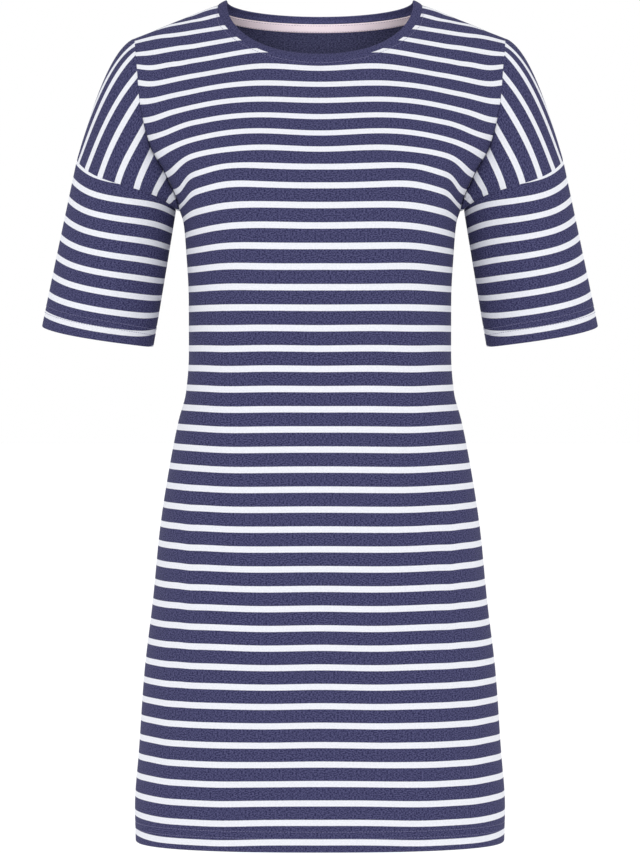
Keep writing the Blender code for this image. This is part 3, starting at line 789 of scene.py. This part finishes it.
def cap_stripe_count():
    """Count of the lengthwise stripe at every point of the shoulder panel.

    The distance round the arm goes evenly from the table's at the armhole to the ring's own at the lower
    sleeve. The count is that distance, less a bow and the first stripe's place, over the repeat.
    """
    ring = sleeve_ring(0.0)
    reach = reach_along(ring, 0)
    low = reach - reach[ARM_ROWS]
    high = cap_stripe_start(sleeve_turns()) / 1000
    t = cap_shares()[:, None]
    outside = np.maximum(np.cos(np.radians(sleeve_turns())), 0.0) ** CAP_BOW_POWER
    bow = CAP_BOW * outside * (4 * t * (1 - t)) ** CAP_BOW_SHAPE
    return ((1 - t) * high + t * low - bow - CAP_FIRST_STRIPE) / CAP_REPEAT


def cuff_stripe_count():
    """Count of the crosswise stripe at every point of the lower sleeve.

    It rises evenly from the first stripe to the last, whose places go by the turn's cosine, its squared
    sine, and a power of the cosine at the underarm.
    """
    turn = np.radians(sleeve_turns())
    bow, inside = np.sin(turn) ** 2, np.maximum(-np.cos(turn), 0.0) ** CUFF_INSIDE_POWER
    first = CUFF_FIRST_STRIPE + CUFF_FIRST_RISE * np.cos(turn) + CUFF_FIRST_BOW * bow
    last = CUFF_LAST_STRIPE + CUFF_LAST_BOW * bow + CUFF_LAST_INSIDE * inside
    return (cuff_shares()[:, None] - first) / (last - first) * CUFF_LAST_COUNT


def mesh_object(name, points, faces, material):
    """A piece of the garment, which rides on its one body."""
    mesh = bpy.data.meshes.new(name)
    mesh.from_pydata(points.tolist(), [], faces)
    mesh.materials.append(material)
    mesh.shade_smooth()
    mesh.set_sharp_from_angle(angle=math.radians(SHARP_EDGE))
    made = placed(name, mesh)
    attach(made, "root")
    return made


def shell(name, outer, normals, wall, draws, cloth_map, material):
    """Closed piece of cloth: its outer grid, one moved in by the wall along the normals, and a rim.

    Both faces draw in by draws, for a round edge. The UV map is cloth_map, the same inside as outside.
    """
    inner = outer - normals * (wall - draws)[..., None]
    outer = outer - normals * draws[..., None]
    rows, columns = outer.shape[:2]
    points = np.concatenate([outer.reshape(-1, 3), inner.reshape(-1, 3)])
    number = np.arange(rows * columns).reshape(rows, columns)
    corners = (number[:-1, :-1], number[:-1, 1:], number[1:, 1:], number[1:, :-1])
    skin = np.stack([array.ravel() for array in corners], axis=-1)
    rim = np.concatenate([number[0], number[1:, -1], number[-1, -2::-1], number[-2:0:-1, 0]])
    following = np.roll(rim, -1)
    under = rows * columns
    sides = np.stack([following, rim, rim + under, following + under], axis=-1)
    faces = np.concatenate([skin, skin[:, ::-1] + under, sides])
    # One quad shows whether the faces look outward
    quad = skin[len(skin) // 3]
    turn = np.cross(points[quad[1]] - points[quad[0]], points[quad[2]] - points[quad[0]])
    if np.dot(turn, normals.reshape(-1, 3)[quad[0]]) < 0:
        faces = faces[:, ::-1]
    made = mesh_object(name, points, faces.tolist(), material)
    where = np.tile(cloth_map.reshape(-1, 2), (2, 1))
    layer = made.data.uv_layers.new(name="cloth")
    layer.data.foreach_set("uv", where[faces.ravel()].astype(np.float32).ravel())
    return made


def points_along(at, reach, line):
    """Points at given distances along a line, on straight steps between its own points."""
    return np.stack([np.interp(at, reach, line[:, axis]) for axis in range(3)], axis=-1)


def capsules(line, up):
    """Row of stitches along a line: their points, their sides as quads, and their end faces.

    Each is a ring of points carried along the line. Its radius, and its rise along up, go by the sine of
    the share of its length.
    """
    reach = reach_along(line, 0)
    starts = np.arange(STITCH_SPACE / 2, reach[-1] - STITCH, STITCH + STITCH_SPACE)
    share = np.linspace(0, 1, STITCH_RINGS)
    at = starts[:, None] + share * STITCH
    centre = points_along(at, reach, line)
    rise = unit(points_along(at, reach, up))
    along = unit(np.gradient(centre, axis=1))
    side = unit(np.cross(along, rise))
    bulge = np.sin(math.pi * share)
    centre = centre + rise * (STITCH_LIFT + THREAD * (STITCH_ARCH * bulge - STITCH_SINK))[:, None]
    turn = np.arange(STITCH_SIDES) / STITCH_SIDES * 2 * math.pi
    radius = (THREAD / 2 * (STITCH_END + (1 - STITCH_END) * bulge))[:, None, None]
    ring = np.cos(turn)[:, None] * side[:, :, None] + np.sin(turn)[:, None] * rise[:, :, None]
    points = centre[:, :, None] + radius * ring
    number = np.arange(points[..., 0].size).reshape(points.shape[:3])
    near, far = number[:, :-1], number[:, 1:]
    quads = np.stack([near, np.roll(near, -1, 2), np.roll(far, -1, 2), far], axis=-1).reshape(-1, 4)
    ends = np.concatenate([number[:, 0, ::-1], number[:, -1]])
    return points.reshape(-1, 3), quads, ends


def stitching(name, lines, material):
    """One object of all rows of stitches, given as pairs of a line and its upward directions."""
    points, faces, count = [], [], 0
    for line, up in lines:
        row, quads, ends = capsules(line, up)
        points.append(row)
        faces += (quads + count).tolist() + (ends + count).tolist()
        count += len(row)
    return mesh_object(name, np.concatenate(points), faces, material)


def down_columns(points, distances):
    """Rows of points down each column of a grid, at given distances from its top edge."""
    made = np.empty((*distances.shape, 3))
    for column in range(points.shape[1]):
        line = points[::-1, column]
        made[::-1, column] = points_along(distances[:, column], reach_along(line, 0), line)
    return made


class Wire:
    """One output of a shader node, with arithmetic that adds Math nodes."""

    def __init__(self, tree, socket):
        self.tree, self.socket = tree, socket

    def node(self, kind, inputs, output=0, **settings):
        """Adds any node; inputs maps its sockets to wires or constants."""
        made = self.tree.nodes.new(kind)
        for name, value in settings.items():
            setattr(made, name, value)
        for key, value in inputs.items():
            if isinstance(value, Wire):
                self.tree.links.new(value.socket, made.inputs[key])
            else:
                made.inputs[key].default_value = value
        return Wire(self.tree, made.outputs[output])

    def math(self, operation, *values):
        return self.node("ShaderNodeMath", dict(enumerate(values)), operation=operation)

    def __add__(self, other):
        return self.math("ADD", self, other)

    def __sub__(self, other):
        return self.math("SUBTRACT", self, other)

    def __rsub__(self, other):
        return self.math("SUBTRACT", other, self)

    def __mul__(self, other):
        return self.math("MULTIPLY", self, other)

    def __truediv__(self, other):
        return self.math("DIVIDE", self, other)

    def __rtruediv__(self, other):
        return self.math("DIVIDE", other, self)

    def __abs__(self):
        return self.math("ABSOLUTE", self)

    __radd__, __rmul__ = __add__, __mul__

    def fraction(self):
        return self.math("FRACT", self)

    def step(self, low, high):
        """0 below low, 1 above high, smooth between."""
        sockets = {"Value": self, "From Min": low, "From Max": high}
        return self.node("ShaderNodeMapRange", sockets, interpolation_type="SMOOTHSTEP")

    def mix(self, start, end):
        """Colour from start to end by this factor."""
        return self.node("ShaderNodeMix", {0: self, 6: start, 7: end}, output=2, data_type="RGBA")


def new_material(name, roughness):
    """Fabric material: its tree, Principled node, and the cloth map's two coordinates in metres."""
    material = bpy.data.materials.new(name)
    material.use_nodes = True
    tree = material.node_tree
    shader = tree.nodes["Principled BSDF"]
    shader.inputs["Roughness"].default_value = roughness
    shader.inputs["Specular IOR Level"].default_value = CLOTH_SPECULAR
    start = Wire(tree, None)
    cloth_map = start.node("ShaderNodeUVMap", {}, uv_map="cloth")
    parts = [start.node("ShaderNodeSeparateXYZ", {0: cloth_map}, output=k) for k in range(2)]
    return material, shader, cloth_map, parts


def heather(cloth_map, size, stretch):
    """Noise in the cloth map, stretched across the cloth, its middle range spread over 0 to 1."""
    scale = (1 / (size * stretch), 1 / size, 1.0)
    scaled = cloth_map.node("ShaderNodeVectorMath", {0: cloth_map, 1: scale}, operation="MULTIPLY")
    sockets = {"Vector": scaled, "Scale": 1.0, "Detail": GRAIN_DETAIL, "Roughness": GRAIN_ROUGHNESS}
    return cloth_map.node("ShaderNodeTexNoise", sockets, noise_dimensions="2D").step(*GRAIN_RANGE)


def arch(share):
    """0 at both ends of a share and 1 in its middle: the share, times what is left of it, times 4."""
    return share * (1 - share) * 4


def knit(across, along):
    """Height of plain knit stitches.

    A course's arch, which the distance from the middle of the wale turns into a V, times what falls off
    beside the middle of each leg.
    """
    wale = (across / WALE).fraction()
    leg = abs(wale - 0.5) * 2
    course = (along / COURSE + leg * 0.5).fraction()
    return arch(course) * (1 - abs(leg - 0.5) * LEG_FALL)


def finish(shader, colour, height, depth):
    """Feeds the shader its colour, and its normal from a height from 0 to 1 that stands for a depth."""
    normal = height.node("ShaderNodeBump", {"Height": height, "Distance": depth, "Strength": 1.0})
    height.tree.links.new(colour.socket, shader.inputs["Base Color"])
    height.tree.links.new(normal.socket, shader.inputs["Normal"])


def striped_jersey():
    """Heather, white where the count is near enough a whole number, and else navy.

    Noise moves the border by up to a tenth of a millimetre each way.
    """
    material, shader, cloth_map, (across, along) = new_material("striped_jersey", JERSEY_ROUGHNESS)
    speckle = heather(cloth_map, *JERSEY_GRAIN)
    wander = heather(cloth_map, *EDGE_GRAIN) - 0.5
    phase = abs((along / REPEAT + 0.5).fraction() - 0.5) + wander * STRIPE_WANDER
    navy = phase.step(WHITE_SHARE / 2 - STRIPE_EDGE, WHITE_SHARE / 2 + STRIPE_EDGE)
    colour = navy.mix(speckle.mix(WHITE_DARK, WHITE_LIGHT), speckle.mix(NAVY_DARK, NAVY_LIGHT))
    finish(shader, colour, knit(across, along), KNIT_DEPTH)
    return material


def plain_jersey():
    """Navy heather of the half-moon patch."""
    material, shader, cloth_map, (across, along) = new_material("plain_jersey", JERSEY_ROUGHNESS)
    colour = heather(cloth_map, *JERSEY_GRAIN).mix(LINING_DARK, LINING_LIGHT)
    finish(shader, colour, knit(across, along), KNIT_DEPTH)
    return material


def rib():
    """Plain navy rib: an arch across each rib, which runs square to the band, and the knit on it."""
    material, shader, cloth_map, (across, along) = new_material("rib", RIB_ROUGHNESS)
    colour = heather(cloth_map, *RIB_GRAIN).mix(NAVY_DARK, NAVY_LIGHT)
    ridge = arch((across / RIB_PITCH).fraction())
    finish(shader, colour, ridge + knit(across, along) * RIB_KNIT, RIB_DEPTH)
    return material


def tape():
    """Pale pink woven tape: an arch across each twill line, which slants from the middle both ways. The
    same arch darkens the pink in the grooves between the lines, as painted shade.
    """
    material, shader, _, (across, along) = new_material("tape", TAPE_ROUGHNESS)
    slant = across + abs(along - TAPE_WIDTH / 2) * TWILL_SLANT
    ridge = arch((slant / TWILL_PITCH).fraction())
    # Painted shade: the pink goes darker down into each twill groove, by the same height as the bump
    finish(shader, ridge.mix(PINK_GROOVE_SHADE, PINK_ON_RIDGES), ridge, TWILL_DEPTH)
    return material


def plain(name, colour, roughness, glow=0.0):
    """Material of one colour; glow is the strength of a white light of its own."""
    material = bpy.data.materials.new(name)
    material.use_nodes = True
    shader = material.node_tree.nodes["Principled BSDF"]
    shader.inputs["Base Color"].default_value = colour
    shader.inputs["Roughness"].default_value = roughness
    shader.inputs["Emission Color"].default_value = PURE_WHITE
    shader.inputs["Emission Strength"].default_value = glow
    return material


def centred(reach):
    """Distances along each row, counted from its middle column."""
    return reach - reach[:, middle_columns(reach, 0)]


def bell(distance, width, height):
    """A soft bump: its height times the exponential of minus the squared distance in widths."""
    return height * np.exp(-((distance / width) ** 2))


def hem_relief(above):
    """Dip of the cloth along the rows of hem stitches: a bell of the height above the edge."""
    return sum(bell(above - row, HEM_PUCKER_WIDTH, HEM_PUCKER) for row in HEM_STITCHES)[..., None]


def seam_dip(grid, normals, edges):
    """The grid with its cloth dipped into seams, by a bell of the distance from the named edges."""
    return grid - normals * bell(edge_reach(grid, edges), SEAM_GROOVE_WIDTH, SEAM_GROOVE)[..., None]


def hem_walls(above, wall):
    """Wall thickness near a turned hem: double up to the hem's depth, then eased down to one wall."""
    return wall * (2 - ease((above - HEM_DEPTH) / HEM_STEP))


def body_piece(side, grid, material):
    """Front or back, with the outer points and normals that its stitching needs."""
    normals = outward(grid, body_middle(grid))
    above = grid[..., 2] + LENGTH
    dipped = seam_dip(grid, normals, ("high", "left", "right")) - normals * hem_relief(above)
    walls = hem_walls(above, WALL)
    draws = rounding(above, walls)
    cloth_map = np.stack([centred(reach_along(grid, 1)), body_stripe_count(grid) * REPEAT], -1)
    made = shell(f"{side}_cloth", dipped, normals, walls, draws, cloth_map, material)
    return made, dipped, normals


def sleeve_crease(name, shares, length):
    """Creases of a sleeve piece: soft folds over the way round the arm and the way down it."""
    scale = SLEEVE_GIRTH / 360
    turns, down = np.meshgrid(sleeve_turns() * scale, shares * length)
    table = [
        (where, t0 * scale, s0 * length, t1 * scale, s1 * length, width, height)
        for where, t0, s0, t1, s1, width, height in SLEEVE_CREASES
    ]
    return line_folds(table, name, turns, down)


def sleeve_piece(name, grid, shares, count, hemmed, sign, material):
    """A shoulder panel or lower sleeve; sign is -1 for the wearer's right, a mirror image."""
    length = reach_along(grid, 0)[-1].mean()
    normals = outward(grid, grid.mean(axis=1, keepdims=True))
    grid = grid + normals * sleeve_crease(name, shares, length)[..., None]
    normals = outward(grid, grid.mean(axis=1, keepdims=True))
    seams = ("low", "left", "right") if hemmed else ("low", "high", "left", "right")
    dipped = seam_dip(grid, normals, seams)
    above = edge_reach(grid, ("high",))
    walls = np.full(above.shape, WALL)
    draws = np.zeros_like(walls)
    if hemmed:
        dipped = dipped - normals * hem_relief(above)
        walls = hem_walls(above, WALL)
        draws = rounding(above, walls)
    flip = np.array([sign, 1.0, 1.0])
    across = centred(reach_along(grid, 1)) if hemmed else reach_along(grid, 0)
    cloth_map = np.stack([across, count * REPEAT], axis=-1)
    made = shell(f"{name}_cloth", dipped * flip, normals * flip, walls, draws, cloth_map, material)
    return made, dipped * flip, normals * flip


def neck_stitch_line(grid, normals):
    """Points and normals of a panel at a set distance from its neck seam, square to that seam.

    Down a column that is the distance over the sine between column and seam.
    """
    span = middle_columns(grid, NECK_COLUMNS)
    columns = grid[:, span]
    seam, down = unit(np.gradient(columns[-1], axis=0)), unit(columns[-3] - columns[-1])
    turn = np.linalg.norm(np.cross(seam, down), axis=1)
    drop = NECK_STITCHES / np.maximum(turn, NECK_STITCH_TURN)
    return down_columns(columns, drop[None])[0], normals[-3, span]


def build():
    """All pieces of the garment, with their stitching."""
    jersey, ribbed, inner_jersey, pink = striped_jersey(), rib(), plain_jersey(), tape()
    thread = plain("thread_blue", THREAD_BLUE, THREAD_ROUGHNESS)
    mauve_thread = plain("thread_mauve", THREAD_MAUVE, THREAD_ROUGHNESS)
    panels = {side: body_panel(side) for side in ("front", "back")}
    cap_grid = sleeve_cap(panels["front"], panels["back"])
    cuff_grid = np.array([sleeve_ring(share) for share in cuff_shares()])
    stitch_rows = [HEM_ROWS.index(height) for height in HEM_STITCHES]
    for side, grid in panels.items():
        made, dipped, normals = body_piece(side, grid, jersey)
        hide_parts(side)
        hem = [(dipped[row], normals[row]) for row in stitch_rows]
        sewn = stitching(f"hem_stitching_{side}", hem, thread)
        neck_sewn = stitching(f"neck_stitching_{side}", [neck_stitch_line(dipped, normals)], thread)
    sleeve_parts = (
        ("sleeve_cap", cap_grid, cap_shares(), cap_stripe_count(), False),
        ("sleeve_lower", cuff_grid, cuff_shares(), cuff_stripe_count(), True),
    )
    for arm, sign in (("left", 1.0), ("right", -1.0)):
        for part, grid, shares, count, hemmed in sleeve_parts:
            name = f"{part}_{arm}"
            made, dipped, normals = sleeve_piece(name, grid, shares, count, hemmed, sign, jersey)
            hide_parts(name)
            hem = [(dipped[-1 - row], normals[-1 - row]) for row in stitch_rows]
            sewn = [stitching(f"cuff_stitching_{arm}", hem, thread)] if hemmed else []
    add_neck(panels, ribbed, inner_jersey, pink, thread, mauve_thread)


def lining_piece(name, back, depth, distances, material):
    """A strip inside the back neck, at given distances below its top edge.

    The panel's own points, moved in along its normals by a depth.
    """
    grid, normals = back
    span = middle_columns(grid, distances.shape[1] // 2)
    outer = grid[:, span]
    strip = down_columns(outer - normals[:, span] * depth, distances)
    facing = unit(down_columns(outer, distances) - strip)
    walls = np.full(strip.shape[:2], TAPE_WALL)
    draws = rounding(edge_reach(strip, ("low",)), walls)
    cloth_map = np.stack([centred(reach_along(strip, 1)), distances[::-1]], axis=-1)
    made = shell(f"{name}_cloth", strip, facing, walls, draws, cloth_map, material)
    return made, strip, facing


def add_neck(panels, ribbed, inner_jersey, pink, thread, mauve_thread):
    """Neckband, and the patch and tape inside the back neck.

    The band swells by the sine of the share of its height. The patch ends below the tape in a half ellipse.
    """
    band = neckband(panels["front"], panels["back"])
    normals = outward(band, body_middle(band))
    share = np.array(BAND_ROWS)[:, None]
    band = band + normals * (BAND_SWELL * np.sin(math.pi * share))[..., None]
    dipped = seam_dip(band, normals, ("low",))
    walls = np.full(band.shape[:2], RIB_WALL)
    draws = rounding(edge_reach(band, ("high",)), walls)
    cloth_map = np.stack([centred(reach_along(band, 1)), reach_along(band, 0)], axis=-1)
    made = shell("neckband_cloth", dipped, normals, walls, draws, cloth_map, ribbed)
    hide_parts("neckband")

    back = panels["back"], outward(panels["back"], body_middle(panels["back"]))
    tape_rows = np.linspace(0, TAPE_WIDTH, TAPE_ROWS + 1)[:, None]
    over = np.repeat(tape_rows, 2 * NECK_COLUMNS + 1, axis=1)
    shares = np.linspace(-1, 1, 2 * PATCH_COLUMNS + 1)
    lengths = (PATCH_MIDDLE - PATCH_ENDS) * np.sqrt(1 - shares**2) + PATCH_ENDS - TAPE_WIDTH
    below = TAPE_WIDTH + np.linspace(0, 1, PATCH_ROWS + 1)[1:, None] * lengths
    moon = np.concatenate([over[:, : len(shares)], below])
    under_patch = WALL + LAYER_GAP
    under_tape = under_patch + TAPE_WALL + LAYER_GAP
    patch = lining_piece("neck_patch", back, under_patch, moon, inner_jersey)
    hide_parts("neck_patch")
    strip = lining_piece("neck_tape", back, under_tape, over, pink)
    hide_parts("neck_tape")
    rows = []
    for distance in TAPE_STITCHES:
        row = down_columns(strip[1] - strip[2] * TAPE_WALL, np.full((1, over.shape[1]), distance))[0]
        rows.append((row, -strip[2][-1]))
    sewn = stitching("tape_stitching", rows, mauve_thread)
    inner = patch[1] - patch[2] * TAPE_WALL
    inset = inner[0] + unit(inner[2] - inner[0]) * PATCH_STITCH_INSET
    patch_sewn = stitching("patch_stitching", [(inset, -patch[2][0])], thread)


def add_stage():
    """Pale floor well below the hem, white surroundings, two large soft lights and one into the neck."""
    around = ((-1, -1), (1, -1), (1, 1), (-1, 1))
    corners = [(x * FLOOR, y * FLOOR, FLOOR_HEIGHT) for x, y in around]
    mesh = bpy.data.meshes.new("floor")
    mesh.from_pydata(corners, [], [(0, 1, 2, 3)])
    mesh.materials.append(plain("floor", FLOOR_COLOUR, FLOOR_ROUGHNESS, FLOOR_GLOW))
    placed("floor", mesh)
    world = bpy.data.worlds.new("surroundings")
    world.use_nodes = True
    backdrop = world.node_tree.nodes["Background"]
    backdrop.inputs["Color"].default_value = PURE_WHITE
    backdrop.inputs["Strength"].default_value = SURROUNDINGS
    bpy.context.scene.world = world
    bpy.context.scene.view_settings.view_transform = "Standard"
    for name, place, aim, size, power, spread in LIGHTS:
        data = bpy.data.lights.new(name, "AREA")
        data.shape = "DISK"
        data.size = size
        data.energy = power
        data.spread = math.radians(spread)
        light = placed(name, data)
        light.visible_camera = False
        light.location = place
        way = unit(np.array(aim) - np.array(place))
        light.rotation_euler = (math.acos(-way[2]), 0.0, math.atan2(-way[0], way[1]))


build()
add_stage()
